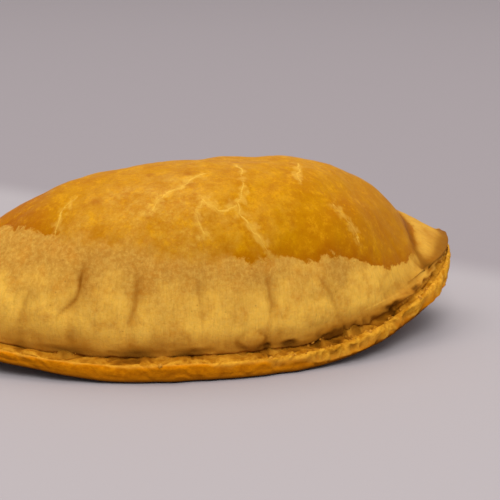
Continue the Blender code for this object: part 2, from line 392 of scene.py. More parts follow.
def broad_relief():
    """Creases and their flutes cut in, the tongue raised, and lumps from four sine waves."""
    relief = np.zeros_like(height)
    for place, lean, depth, top in CREASES:
        gap = crease_gap(place, lean, 0)
        bottom_end = CREASE_BOTTOM + CREASE_RAMP
        along = span(height, CREASE_BOTTOM, bottom_end, CREASE_FADE * top, top)
        relief -= depth * along * (0.5 * hill(gap, CREASE_WIDTH) + 0.5 * hill(gap, FLUTE_WIDTH))
    relief += TONGUE_RELIEF * hill(tongue_reach() ** 2, 1) * pressed
    draw = np.random.default_rng(SEED)
    lumps = np.zeros_like(height)
    for length in LUMP_LENGTHS:
        direction = draw.normal(size=3)
        direction /= np.linalg.norm(direction)
        lumps += np.sin(2 * np.pi * (plain @ direction) / length + draw.uniform(0, 6))
    lumps = lumps * LUMP_RELIEF / len(LUMP_LENGTHS)
    return relief + lumps * ease(height, LUMPS_FROM, LUMPS_FULL)


# %% [markdown]
# ## The fine relief of the crust
#
# Up close the skin is gently puckered, and each crease is a small fold: steep on one side, gentle
# on the other, with a hairline in it. The pressed edge is the roughest part. Its lip has crumbled
# into knurls and grains of one to two millimetres, most of all towards the right, where the
# groove's floor is torn too. Its outer face shows the layers of the dough, the two layers part
# along a wandering seam, and the dome's foot has lifted off in small dark pockets. Sculpting could
# do it once. Here each is a noise of its own grain, stretched along coordinates that follow the
# crust and kept to its zone by a mask, so one number changes all of it.

# %% Zones, and coordinates that follow the crust
FOLLOW_RADIUS = 50.0
RIGHT_FROM, RIGHT_FULL = -108, -86
GROOVE_AT_LEFT, GROOVE_AT_RIGHT, GROOVE_SPREAD = 1.1, 1.15, 0.65
LIP_LEFT, LIP_RIGHT, LIP_BORDER = 0.38, 0.54, 0.07
LIP_RAGGED, LIP_RAGGED_CELL = 0.08, (3.0, 3.0, 9.0)
CRUMBLES_FROM, CRUMBLES_FULL, CRUMBLE_CELL = -72, -36, 4.0
EAR_BEGINS, EAR_INSIDE = 50, 62

# turned is in degrees: -180 at the left end, -90 in the middle of the front, 0 at the right end.
turned = np.degrees(angle) + 0 * height
rightward = ease(turned, RIGHT_FROM, RIGHT_FULL)
below_foot = np.arange(len(height))[:, None] + 0 * angle - DOME_ROWS
round_edge = np.clip((below_foot - GROOVE_ROWS) / EDGE_ROWS, 0, 1)
past_edge = below_foot - GROOVE_ROWS - EDGE_ROWS
on_dome = 1 - ease(below_foot, -2, 4)
groove_row = mix(GROOVE_AT_LEFT, GROOVE_AT_RIGHT, rightward) * GROOVE_ROWS
in_groove = hill(below_foot - groove_row, GROOVE_SPREAD * GROOVE_ROWS) * pressed
on_edge = ease(below_foot, 0.7 * GROOVE_ROWS, 1.1 * GROOVE_ROWS) * pressed
lip_ends = mix(LIP_LEFT, LIP_RIGHT, ease(turned, -110, -50))
lip_ends = lip_ends + LIP_RAGGED * noise(LIP_RAGGED_CELL, 4)
lip = on_edge * (1 - ease(round_edge, lip_ends - LIP_BORDER, lip_ends + LIP_BORDER))
face = on_edge - lip
crumbling = ease(turned, CRUMBLES_FROM, CRUMBLES_FULL) * ease(below_foot, 3, 10) * pressed
crumbling = crumbling * (1 - ease(round_edge, 0.15, 0.4))
patches = ease(noise(CRUMBLE_CELL, 44), -0.3, 0.3)
lip = np.maximum(lip, crumbling * patches)
crumbly = mix(0.3, 1.0, ease(turned, -100, -50)) * mix(1.0, 0.5, ease(turned, -12, 5))
off_base = ease(height, 0.2, 1.6)
off_ears = pressed * (1 - ease(from_middle, EAR_BEGINS, EAR_INSIDE))
steps = np.linalg.norm(np.diff(plain, axis=0, prepend=plain[:1]), axis=2)
down = np.cumsum(steps, axis=0)
ring = FOLLOW_RADIUS * np.array([np.cos(angle), np.sin(angle)])
follow = np.stack([ring[0] + 0 * down, ring[1] + 0 * down, down], 2)
print("points on the pressed edge:", int((on_edge > 0.5).sum()))


# %% Folds in the creases
FOLD_STEEP, FOLD_GENTLE, FOLD_DEPTH = 1.1, 4.0, 0.36
FOLD_WANDER = ((9.0, 1.2), (2.5, 0.4))
FOLD_SPAN, BAND_SPAN = (0.42, 0.62, 0.85, 1.05), (0.62, 0.78, 0.9, 1.08)
HAIRLINE_WIDTH, HAIRLINE_DEPTH = 0.55, 0.12
HOOK, HOOK_FROM, HOOK_END = 2.2, 0.5, 0.72
# The band beside each crease is painted shade; hairline and fold darken the colour with painted
# shade as well.
BAND_WIDTH, BAND_ASIDE = 1.2, 0.7


def crease_folds():
    """Each crease's fold, hill(gap, steep) or hill(gap, gentle) by its side, hairline and a band of
    painted shade.
    """
    wander = sum(
        rise * noise(cell, 5 + n)
        for n, (cell, rise) in enumerate(FOLD_WANDER)
    )
    folds, lines, shade_bands = (np.zeros_like(height) for _ in range(3))
    for place, lean, depth, top in CREASES:
        share = height / top
        hook = HOOK * depth**4 * (1 - ease(share, HOOK_FROM, HOOK_END))
        gap = crease_gap(place, lean, wander + hook)
        along = span(share, *FOLD_SPAN)
        side = np.where(gap > 0, hill(gap, FOLD_GENTLE), hill(gap, FOLD_STEEP))
        band = span(share, *BAND_SPAN) * hill(gap - BAND_ASIDE, BAND_WIDTH)
        folds = np.maximum(folds, depth * along * side)
        lines = np.maximum(lines, depth**2 * along * hill(gap, HAIRLINE_WIDTH))
        shade_bands = np.maximum(shade_bands, depth**2 * band)
    return folds * on_dome, lines * on_dome, shade_bands * on_dome


folds, lines, shade_bands = crease_folds()
print("creases:", len(CREASES), "deepest fold in mm:", (FOLD_DEPTH * folds).max().round(2))

# %% Skin, edge and the swellings of this one pie, in mm
PUCKERS = ((7.0, 0.26), (3.4, 0.14), (1.7, 0.07))
WRINKLE_CELL, WRINKLE, WRINKLES_FADE, WRINKLES_END = (1.3, 1.3, 6.0), 0.08, 24, 34
KNURL_CELL, KNURL, KNURL_LEVEL, FACE_KNURL = (1.8, 1.8, 2.2), 1.0, 0.6, 0.6
GRAIN_CELL, GRAIN, FACE_GRAIN = 1.1, 0.34, 0.12
BITE_CELL, BITE, TORN_CELL = 5.0, 0.7, 9.0
STRATA_CELL, STRATA, STRATA_LEVEL, LIP_STRATA = (9.0, 9.0, 0.8), 0.22, 0.3, 1.3
UNEVEN_CELL, UNEVEN = 6.0, 0.2
SEAM_HEIGHT, SEAM_WIDTH, SEAM_DEPTH = 2.5, 0.4, 0.4
SEAM_WANDER, SEAM_WANDER_CELL, SEAM_GAPS_CELL = 0.6, 11.0, 16.0
LENS_ANGLE, LENS_HEIGHT = -120.0, 4.6
LENS_HALF_WIDTH, LENS_HALF_DEPTH, LENS_RELIEF = 6.5, 1.4, 0.6
# Degrees round the pie, spread in degrees and rise.
TOES = ((-13.0, 8.0, 1.8), (-42.0, 15.0, 1.0))
# Middle, reach and rise.
SWELLINGS = (
    ((46.0, 3.5, 38.0), 7.0, 1.1),
    ((57.0, 7.0, 30.5), 4.5, -1.5),
    ((65.0, 3.0, 22.0), 5.0, 0.2),
    ((-25.0, 7.0, 44.0), 10.0, 1.0),
)
EAR_FOLD = ((57.6, 6.0, 29.5), (57.2, -2.0, 26.4), (57.2, -7.4, 22.6), (59.0, -10.7, 19.0))
EAR_FOLD_WIDTH, EAR_FOLD_DEPTH = 2.2, 0.9
FOOT_TUCK, FOOT_TUCK_HEIGHT, FOOT_TUCK_RISE, FOOT_TUCK_REACH = 0.9, 7.5, 1.0, 3.8
GROOVE_RAISE, GROOVE_PITS, GROOVE_PIT_CELL, GROOVE_STRATA = 0.9, 0.5, 3.0, 0.15
# Along the lip and the foot of the edge: share of the way round it, spread and cut.
CHAMFERS = ((0.25, 0.15, 0.9), (0.8, 0.13, 1.17))
INNER_DROP = 0.8
TORN_LUMPS, TORN_LUMP_CELL, TORN_GRAINS, TORN_GRAIN_CELL = 1.0, 3.0, 0.35, 1.2
# Degrees round the pie, half width and share of the full cut.
POCKETS = (
    (-150.0, 5.0, 0.3),
    (-129.0, 4.0, 0.25),
    (-107.0, 4.0, 0.35),
    (-76.3, 0.9, 1.0),
    (-66.5, 2.2, 1.0),
    (-49.5, 4.2, 1.0),
    (-27.0, 2.4, 0.9),
    (-18.7, 1.2, 0.7),
)
POCKET_HEIGHT, POCKET_HALF_DEPTH, POCKET_CUT = 6.3, 0.8, 0.8
POCKET_RAGGED, POCKET_GRAIN = 0.5, 3.0


def nearest_on(points, ends):
    """Distance and offset to a path of straight stretches, and the nearest stretch's run."""
    nearest, offset, along = np.full(points.shape[:2], np.inf), 0 * points, 0 * points
    for start, end in zip(np.array(ends), np.array(ends[1:])):
        run = end - start
        share = np.clip((points - start) @ run / (run @ run), 0, 1)
        gap = points - start - share[..., None] * run
        length = np.linalg.norm(gap, axis=2)
        closer = (length < nearest)[..., None]
        nearest = np.minimum(length, nearest)
        offset, along = np.where(closer, gap, offset), np.where(closer, run, along)
    return nearest, offset, along


def edge_relief():
    """Knurls, grains and bites on the lip; strata, seam, a parted lens and toes on the face."""
    knurls = 1 - 2 * np.abs(noise(KNURL_CELL, 30, follow))
    knurls = KNURL * (knurls - KNURL_LEVEL)
    grains = noise(GRAIN_CELL, 31)
    bites = np.maximum(noise(BITE_CELL, 32), 0)
    torn = ease(noise(TORN_CELL, 37), -0.6, 0.2)
    strata = STRATA * (noise(STRATA_CELL, 33, follow) - STRATA_LEVEL)
    uneven = UNEVEN * noise(UNEVEN_CELL, 34)
    relief = (knurls * torn + GRAIN * grains - BITE * bites) * crumbly * lip
    relief += LIP_STRATA * strata * (1 - crumbly) * lip
    relief += FACE_KNURL * knurls * ease(turned, -75, -40) * face
    relief += (strata + FACE_GRAIN * grains + uneven) * face
    wander = SEAM_WANDER * noise(SEAM_WANDER_CELL, 35)
    parted = ease(noise(SEAM_GAPS_CELL, 36), -0.5, 0.3)
    relief -= SEAM_DEPTH * hill(height - SEAM_HEIGHT - wander, SEAM_WIDTH) * parted * face
    across = round_from(LENS_ANGLE) / LENS_HALF_WIDTH
    upward = (height - LENS_HEIGHT) / LENS_HALF_DEPTH
    relief += LENS_RELIEF * np.exp(-(across**4 + upward**4)) * on_edge
    for place, width, swell in TOES:
        relief += swell * hill(turned - place, width) * hill(round_edge - 0.7, 0.25) * on_edge
    return relief


def pocket_share():
    """0 to 1: in the dark pockets where the dome's foot has lifted off the pressed edge."""
    ragged = POCKET_RAGGED * noise(POCKET_GRAIN, 46)
    upward = (height - POCKET_HEIGHT - ragged) / POCKET_HALF_DEPTH
    share = np.zeros_like(height)
    for place, half_width, cut in POCKETS:
        gap = round_from(place) / half_width
        share = np.maximum(share, cut * hill(np.hypot(gap, upward), 1))
    return share * pressed * (1 - ease(below_foot, GROOVE_ROWS, GROOVE_ROWS + 6))


def groove_relief():
    """Pits, strata and raised dough in the groove, the tucked foot above it, and torn lumps."""
    pits = np.maximum(noise(GROOVE_PIT_CELL, 40), 0)
    strata = noise(STRATA_CELL, 41, follow)
    relief = (GROOVE_STRATA * strata - GROOVE_PITS * pits) * in_groove
    torn_side = ease(turned, -75, -50)
    wall_end = mix(1.0, 0.7, torn_side) * GROOVE_ROWS
    wall = 1 - ease(below_foot, wall_end - 0.5 * GROOVE_ROWS, wall_end)
    tuck_height = FOOT_TUCK_HEIGHT + FOOT_TUCK_RISE * torn_side
    relief -= FOOT_TUCK * hill(height - tuck_height, FOOT_TUCK_REACH) * wall * off_ears
    floor = hill(below_foot - 0.75 * GROOVE_ROWS, 7) * off_ears
    relief += GROOVE_RAISE * (1.1 - groove_fill(angle)) * floor
    lumps = 1 - 2 * np.abs(noise(TORN_LUMP_CELL, 42))
    grains = noise(TORN_GRAIN_CELL, 43)
    return relief + (TORN_LUMPS * (lumps - KNURL_LEVEL) + TORN_GRAINS * grains) * crumbling


def fine_relief():
    """Puckers, wrinkles and folds on the dome, its swellings, and the groove's and edge's relief."""
    skin = sum(
        rise * noise(cell, 10 + n) for n, (cell, rise) in enumerate(PUCKERS)
    )
    wrinkles = WRINKLE * noise(WRINKLE_CELL, 20, follow)
    wrinkles = wrinkles * (1 - ease(height, WRINKLES_FADE, WRINKLES_END))
    relief = (skin + wrinkles) * on_dome - FOLD_DEPTH * folds - HAIRLINE_DEPTH * lines
    for place, width, rise in SWELLINGS:
        relief += rise * about(place, width)
    relief -= EAR_FOLD_DEPTH * hill(nearest_on(plain, EAR_FOLD)[0], EAR_FOLD_WIDTH)
    for place, width, cut in CHAMFERS:
        relief -= cut * hill(round_edge - place, width) * on_edge
    relief -= POCKET_CUT * pocket_share()
    relief -= INNER_DROP * (1 - ease(round_edge, 0.08, 0.26)) * on_edge * mix(0.7, 1, rightward)
    return (relief + groove_relief() + edge_relief()) * off_base


relief = broad_relief() + fine_relief()
relief[0] = relief[0].mean()
print("relief in mm:", relief.min().round(2), "to", relief.max().round(2))

# %% [markdown]
# ## From grid to mesh
#
# The crust is one closed skin, so its poles are single points and its columns join up. It takes
# the solid's place exactly: it is centred on the solid's box and drawn in by the hair's breadth
# that its relief stands out.

# %% Fit the surface to the solid's box
LEFT_TUCK, TUCK_FROM, TUCK_FULL = 1.2, 28.0, 52.0
UNDERCUT, UNDERCUT_FROM, UNDERCUT_FULL = 1.3, 0.75, 0.97
EAR_TIP, TIP_REACH, TIP_DROP = (73.0, 15.0, 23.0), 5.0, 1.0
surface = plain + outward(plain) * relief[:, :, None]
tuck = ease(-to_right, TUCK_FROM, TUCK_FULL) * (1 - ease(height, 0, EDGE_THICKNESS))
undercut = ease(round_edge, UNDERCUT_FROM, UNDERCUT_FULL) * (1 - ease(past_edge, 0, 2))
surface[:, :, 2] += (LEFT_TUCK * tuck + UNDERCUT * undercut) * pressed
surface[:, :, 2] -= TIP_DROP * about(EAR_TIP, TIP_REACH)
low, high = surface.min(axis=(0, 1)), surface.max(axis=(0, 1))
cad_size = np.array(cad_high - cad_low) / MM
cad_middle = np.array(cad_high + cad_low) / 2 / MM
shrink = np.minimum(1, (cad_size - 0.02) / (high - low))
shift = np.array([cad_middle[0], cad_middle[1], cad_low[2] / MM])
shift -= np.array([(low[0] + high[0]) / 2, (low[1] + high[1]) / 2, low[2]]) * shrink
surface = surface * shrink + shift
print("drawn in to", shrink.round(4), "moved by", shift.round(2), "mm")


# %% One closed mesh from a grid
def per_point(grid):
    """A grid's values in the order of the mesh's points: one at each pole, rows between them."""
    return np.concatenate([grid[:1, 0], grid[1:-1].reshape(-1, *grid.shape[2:]), grid[-1:, 0]])


def closed_mesh(name, grid):
    """A mesh from rows of points, in mm: quads between rows, and a fan about each single pole."""
    rows, columns = grid.shape[:2]
    points = per_point(grid)
    ring = np.arange(columns)
    after = (ring + 1) % columns
    start = 1 + columns * np.arange(rows - 3)[:, None]
    below = start + columns
    quads = np.stack([start + ring, below + ring, below + after, start + after], 2)
    last = 1 + columns * (rows - 3)
    top = np.stack([0 * ring, 1 + ring, 1 + after], 1)
    bottom = np.stack([last + ring, 0 * ring + len(points) - 1, last + after], 1)
    mesh = bpy.data.meshes.new(name)
    faces = top.tolist() + quads.reshape(-1, 4).tolist() + bottom.tolist()
    mesh.from_pydata((points * MM).tolist(), [], faces)
    mesh.shade_smooth()
    return mesh


def keep(mesh, name, values, kind="FLOAT", field="value"):
    """Stores a number or a vector a point on the mesh, in the order of its points."""
    layer = mesh.attributes.new(name, kind, "POINT")
    layer.data.foreach_set(field, per_point(values).ravel().astype(np.float32))


def put(name, data):
    """A new object in the scene."""
    thing = bpy.data.objects.new(name, data)
    bpy.context.scene.collection.objects.link(thing)
    return thing


def add_piece(name, mesh, material):
    """Puts a finished mesh in the scene as a piece that stands on the table with the pie."""
    piece = put(name, mesh)
    mesh.materials.append(material)
    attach(piece, "root")
    return piece


crust = closed_mesh("crust", surface)
keep(crust, "follow", follow * MM, "FLOAT_VECTOR", "vector")
keep(crust, "height", height)
print("crust:", len(crust.vertices), "points,", len(crust.polygons), "faces")

# %% [markdown]
# ## Where the egg wash lies, where the crust browned, and where shade is painted
#
# The top was brushed with beaten egg and the foot was not. The brush stopped at a ragged line
# that drops from left to right. On the dome the baked glaze has split in a few pale cracks. A
# painted image could hold all this. Distances stored on the points stay sharp at any scale, since
# the material turns a distance into an edge and frays it with its own noise.

# %% Distance above the glaze's lower edge, and how thick the glaze is
GLAZE_LEFT, GLAZE_DROP, GLAZE_DROPS = 33.0, 7.5, (-150, -20)
GLAZE_DIP_ANGLE, GLAZE_DIP_WIDTH, GLAZE_DIP = -112.0, 22.0, 2.0
GLAZE_RIGHT_DROP, GLAZE_RIGHT_DROPS = 12.0, (-48, -12)
GLAZE_BACK, GLAZE_BACK_WAVE, GLAZE_BACK_WAVES = 19.0, 2.0, (3, 7, 12)
EAR_BARE = 58.2
# Where the egg was wiped thin and where it pooled: middle, reach and share.
THIN_PATCHES = (((-17.0, -21.0, 38.0), 19.0, 1.0), ((-36.0, -16.0, 34.0), 10.0, 0.7))
POOLS = (
    ((-46.0, -1.0, 37.5), 14.0, 1.0),
    ((-24.0, -3.0, 45.0), 10.0, 0.5),
    ((32.0, -22.0, 28.0), 14.0, 0.6),
    ((44.0, -14.0, 28.0), 9.0, 0.7),
)


def glaze_edge():
    """Height above a line that drops from left to right and lies low behind; the ears are bare."""
    front = GLAZE_LEFT - GLAZE_DROP * ease(turned, *GLAZE_DROPS)
    front = front - GLAZE_DIP * hill(turned - GLAZE_DIP_ANGLE, GLAZE_DIP_WIDTH)
    front = front - GLAZE_RIGHT_DROP * ease(turned, *GLAZE_RIGHT_DROPS)
    behind = GLAZE_BACK + GLAZE_BACK_WAVE * waves(angle, GLAZE_BACK_WAVES, SEED + 2)
    above = height - mix(front, behind, ease(np.sin(angle), 0.0, 0.25))
    return np.minimum(above, EAR_BARE - from_middle)


def strongest(patches):
    """The greatest of share * hill(distance, width) over the patches, at each point."""
    return np.maximum.reduce(
        [share * about(middle, width) for middle, width, share in patches]
    )


def glaze_thickness():
    """1 where the egg lies even, less where it was wiped thin, more where it pooled."""
    wiped, pooled = strongest(THIN_PATCHES), strongest(POOLS)
    return 1 - wiped + pooled * (1 - wiped)


edge_distance = glaze_edge()
keep(crust, "glaze_edge", edge_distance)
keep(crust, "glaze_thickness", glaze_thickness())
print("glazed share of the points:", (edge_distance > 0).mean().round(2))

# %% Cracks in the glaze, each a path of (degrees round the pie, share of the way to the foot)
CRACKS = (
    ((-42.0, 0.22), (-69.7, 0.48), (-80.1, 0.61), (-82.0, 0.71), (-78.9, 0.75), (-75.1, 0.83))
    + ((-72.7, 0.90),),
    ((-101.8, 0.31), (-116.3, 0.40), (-128.8, 0.54), (-131.3, 0.66)),
    ((-103.0, 0.60), (-94.2, 0.66), (-82.0, 0.64)),
    ((-103.0, 0.60), (-108.0, 0.68), (-104.0, 0.78)),
    ((-31.7, 0.71), (-31.3, 0.79), (-33.0, 0.86)),
    ((-10.7, 0.40), (-33.3, 0.51)),
    ((-162.1, 0.75), (-166.4, 0.64), (-169.7, 0.54)),
    ((40.0, 0.35), (58.0, 0.55), (52.0, 0.75)),
    ((120.0, 0.30), (104.0, 0.52), (112.0, 0.70), (100.0, 0.85)),
    ((58.0, 0.55), (80.0, 0.62), (104.0, 0.52)),
)
CRACK_WANDER = ((5.0, 1.0), (1.8, 0.5))
FAR_AWAY = 99.0


def on_dome_at(degrees, out):
    """The point of the plain surface nearest to an angle and a share of the way to the foot."""
    column = np.argmin(np.abs(turn(angle, np.radians(degrees))))
    return plain[round(np.arcsin(out) / (np.pi / 2) * DOME_ROWS), column]


def crack_distances():
    """The distance in mm to the nearest crack, and the same with a sign for the crack's side.

    The sign lets a line thinner than the mesh's spacing stay whole: between a point on its left and
    one on its right the signed distance passes through zero, while the plain one would not.
    """
    points = plain + sum(
        rise * np.stack([noise(cell, 60 + axis) for axis in range(3)], 2)
        for cell, rise in CRACK_WANDER
    )
    normal = outward(plain)
    nearest, signed = np.full(height.shape, np.inf), np.full(height.shape, FAR_AWAY)
    for path in CRACKS:
        length, offset, along = nearest_on(points, [on_dome_at(*place) for place in path])
        side = np.sign(np.einsum("...i,...i", np.cross(offset, along), normal))
        signed = np.where(length < nearest, side * length, signed)
        nearest = np.minimum(length, nearest)
    return nearest, signed


nearest, signed = crack_distances()
keep(crust, "crack_distance", nearest)
keep(crust, "crack_side", signed)
print("cracks:", len(CRACKS))


# %% Painted shade, and crust that browned: shares of full dark in the groove, in hollows, at the foot and under the edge
# Most of these shares are painted shade; the groove and its pockets hold painted shade and browned
# crust together.
GROOVE_SHADE_AND_BROWN_LEFT, GROOVE_SHADE_AND_BROWN_RIGHT, GROOVE_LINE_SHADE, INNER_LIP_SHADE = 0.6, 0.36, 0.32, 0.2
HAIRLINE_SHADE, BAND_SHADE, FOLD_SHADE, HOLLOW_SHADE = 0.17, 0.15, 0.12, 0.2
EAR_FOLD_SHADE, EAR_BROWN, POCKET_SHADE_AND_BROWN, TONGUE_SHADE = 0.22, 0.08, 0.6, 0.13
UNDER_SHADE, RIGHT_DARKENING, FOOT_SHADE, FOOT_LINE_SHADE = 1.1, 0.24, 0.4, 0.2
FOOT_SHADE_FROM, FOOT_SHADE_TOP, FOOT_SHADE_LEFT = 6.5, 13.0, 5.0
HOLLOW_SPREAD, HOLLOW_DEPTH = 6, 0.25
# From and to, in mm from the pie's middle or in degrees round it, where these shares change.
GROOVE_ENDS, FOOT_LINE_ENDS, FOOT_RISES, RIGHT_DARKENS = (44, 60), (46, 58), (25, 45), (34, 52)
GROOVE_PALES, INNER_ENDS = (-90, -60), (-30, -15)


def spread(values, times):
    """Values averaged with their neighbours in the grid, a number of times."""
    for _ in range(times):
        values = (values + np.roll(values, 1, 1) + np.roll(values, -1, 1)) / 3
        padded = np.concatenate([values[:1], values, values[-1:]])
        values = (padded[:-2] + padded[1:-1] + padded[2:]) / 3
    return values


def groove_shade_and_browning():
    """Painted shade and browned crust in the groove's open stretches and its pockets; painted shade
    along its bottom at the left and inside the lip.
    """
    fill = groove_fill(angle)
    open_groove = in_groove * (1 - 0.75 * fill) * (1 - 0.8 * ease(from_middle, *GROOVE_ENDS))
    open_groove = open_groove * ease(noise(7.0, 45), -0.6, 0.4)
    bottom = hill(below_foot - GROOVE_AT_LEFT * GROOVE_ROWS, 4) * (1 - 0.4 * fill) * pressed
    inside = (1 - ease(round_edge, 0.05, 0.22)) * (1 - ease(turned, *INNER_ENDS)) * on_edge
    shade_and_brown = mix(GROOVE_SHADE_AND_BROWN_LEFT, GROOVE_SHADE_AND_BROWN_RIGHT, ease(turned, *GROOVE_PALES)) * open_groove
    shade_and_brown = shade_and_brown + GROOVE_LINE_SHADE * bottom * (1 - rightward) + INNER_LIP_SHADE * inside * rightward
    return shade_and_brown + POCKET_SHADE_AND_BROWN * pocket_share()


def foot_shade():
    """Painted shade at the dome's foot, in a line above the groove and round the tongue; darker
    towards the right end.
    """
    top = FOOT_SHADE_TOP + FOOT_SHADE_LEFT * ease(-to_right, *FOOT_RISES)
    uneven = 1.5 * noise(6.0, 47)
    line = hill(below_foot - 8, 7) * (0.7 + 0.6 * noise(8.0, 48))
    shade_and_brown = FOOT_SHADE * (1 - ease(height + uneven, FOOT_SHADE_FROM, top))
    shade_and_brown = shade_and_brown + FOOT_LINE_SHADE * line * (1 - ease(from_middle, *FOOT_LINE_ENDS))
    shade_and_brown = shade_and_brown + TONGUE_SHADE * hill(tongue_reach() - 1.15, 0.22)
    shade_and_brown = shade_and_brown * (1 - on_edge) + RIGHT_DARKENING * ease(to_right, *RIGHT_DARKENS) * on_dome
    return shade_and_brown * pressed


def ear_shade_and_browning():
    """Painted shade in the fold at the right ear, and the bare ear beyond it a little browner."""
    bare = ease(to_right, EAR_BARE, EAR_BARE + 6) * on_dome
    in_fold = hill(nearest_on(plain, EAR_FOLD)[0], EAR_FOLD_WIDTH)
    return EAR_FOLD_SHADE * in_fold + EAR_BROWN * bare


# Painted shade in hollows: darker where the relief lies below its smoothed surroundings.
hollow = np.clip((spread(relief, HOLLOW_SPREAD) - relief) / HOLLOW_DEPTH, 0, 1)
# Painted contact shadow: the outer face darkens towards the table, most on its lowest millimetres.
below = 0.3 * (1 - ease(height, 1.2, 3.6)) + 0.7 * (1 - ease(height, 0.2, 1.7))
under = face * below * (1 - 0.8 * ease(past_edge, 0, 3))
# Crease hairline, band and fold, hollows and the edge's underside: painted shade.
shade_and_browning = HAIRLINE_SHADE * lines + BAND_SHADE * shade_bands + FOLD_SHADE * folds
shade_and_browning = shade_and_browning + HOLLOW_SHADE * hollow + UNDER_SHADE * under
shade_and_browning = shade_and_browning + groove_shade_and_browning() + foot_shade() + ear_shade_and_browning()
shade_and_browning = np.clip(shade_and_browning, 0, 1)
keep(crust, "shade_and_browning", shade_and_browning)
keep(crust, "lip", lip)
keep(crust, "face", face)
print("mean browning:", shade_and_browning.mean().round(3))

# %% [markdown]
# ## The shortcrust material
#
# Baked shortcrust is flour, fat and water: a matte, pale golden crumb with a fine grain and small
# dark specks. Where egg was brushed on, it has set to a thin amber skin, smoother and a little
# glossy, darkest along its edge, with hairline crackle where it is thin. One Principled shader
# holds both, because glaze and dough are one surface, and masks choose between their colours.

# %% Colours and a helper that adds nodes
def linear(hex_code):
    """An sRGB hex colour as linear RGBA: ((c + 0.055) / 1.055)^2.4, or c / 12.92 when dark."""
    channels = np.array([int(hex_code[n : n + 2], 16) for n in (1, 3, 5)]) / 255
    bright = ((channels + 0.055) / 1.055) ** 2.4
    return (*np.where(channels <= 0.04045, channels / 12.92, bright), 1.0)


def empty_material(name):
    """A new material with no node in it, and add_node() bound to its tree."""
    material = bpy.data.materials.new(name)
    material.use_nodes = True
    material.node_tree.nodes.clear()
    return material, partial(add_node, material.node_tree)


def add_node(tree, kind, inputs=None, out=0, **settings):
    """Adds one node, sets it up, fills or links its inputs, and returns one of its outputs."""
    node = tree.nodes.new("ShaderNode" + kind)
    for name, value in settings.items():
        setattr(node, name, value)
    for key, value in (inputs or {}).items():
        if isinstance(value, bpy.types.NodeSocket):
            tree.links.new(value, node.inputs[key])
        else:
            node.inputs[key].default_value = value
    return node.outputs[out] if node.outputs else None


# %% What the nodes are given: colours, ranges and grains of a real size
COLOURS = {"out": 2, "data_type": "RGBA"}
SOFT = {"interpolation_type": "SMOOTHSTEP"}
PLUS, TIMES = {"operation": "ADD"}, {"operation": "MULTIPLY"}


def per_metre(size_in_mm):
    """The texture scale whose cells are this many millimetres across."""
    return 1 / (size_in_mm * MM)


def grains(place, size_in_mm, detail=2.0, roughness=0.5):
    """What a noise texture is given for grains of this size."""
    scale = per_metre(size_in_mm)
    return {"Vector": place, "Scale": scale, "Detail": detail, "Roughness": roughness}


def between(value, low, high, start=0.0, end=1.0):
    """What a Map Range is given: it goes from start to end as the value goes from low to high."""
    return {0: value, 1: low, 2: high, 3: start, 4: end}


def shades(share, first, second):
    """What a colour Mix is given: the first colour and a share of the second, as hex or linked."""
    first, second = (linear(one) if isinstance(one, str) else one for one in (first, second))
    return {0: share, 6: first, 7: second}


def mottled(add, colour, place, layers):
    """Mixes in each layer's own colour where a noise of its own grain is high."""
    for size, detail, roughness, low, high, most, hex_code in layers:
        grain = add("TexNoise", grains(place, size, detail, roughness))
        share = add("MapRange", between(grain, low, high, 0.0, most))
        colour = add("Mix", shades(share, colour, hex_code), **COLOURS)
    return colour


# %% Where the glaze lies, how thick it is, and its darker border
def glaze_masks(add, place):
    """Cover, thickness, pooling and dark border, 0 to 1. Thin glaze has a soft edge."""
    thick = add("Attribute", attribute_name="glaze_thickness", out=2)
    pools = add("TexNoise", grains(place, 10.0, 4.0, 0.6))
    pools_by = add("MapRange", between(pools, 0.3, 0.7, -0.4, 0.4))
    deep = add("Math", {0: thick, 1: pools_by}, **PLUS)
    thickness = add("MapRange", between(deep, 0.0, 1.0))
    pooled = add("MapRange", between(deep, 1.0, 1.9))
    fray = add("TexNoise", grains(place, 6.0, 6.0, 0.68))
    fray_by = add("MapRange", between(fray, 0.25, 0.75, -2.4, 2.4))
    edge = add("Attribute", attribute_name="glaze_edge", out=2)
    frayed = add("Math", {0: edge, 1: fray_by}, **PLUS)
    blur = add("MapRange", between(thickness, 0.0, 1.0, 8.0, 0.9))
    scaled = add("Math", {0: frayed, 1: blur}, operation="DIVIDE")
    cover = add("MapRange", between(scaled, -0.5, 0.5), **SOFT)
    inner = add("MapRange", between(frayed, 0.0, 4.5, 1.0, 0.0), **SOFT)
    covered = add("Math", {0: inner, 1: cover}, **TIMES)
    border = add("Math", {0: covered, 1: thickness}, **TIMES)
    return cover, thickness, pooled, border


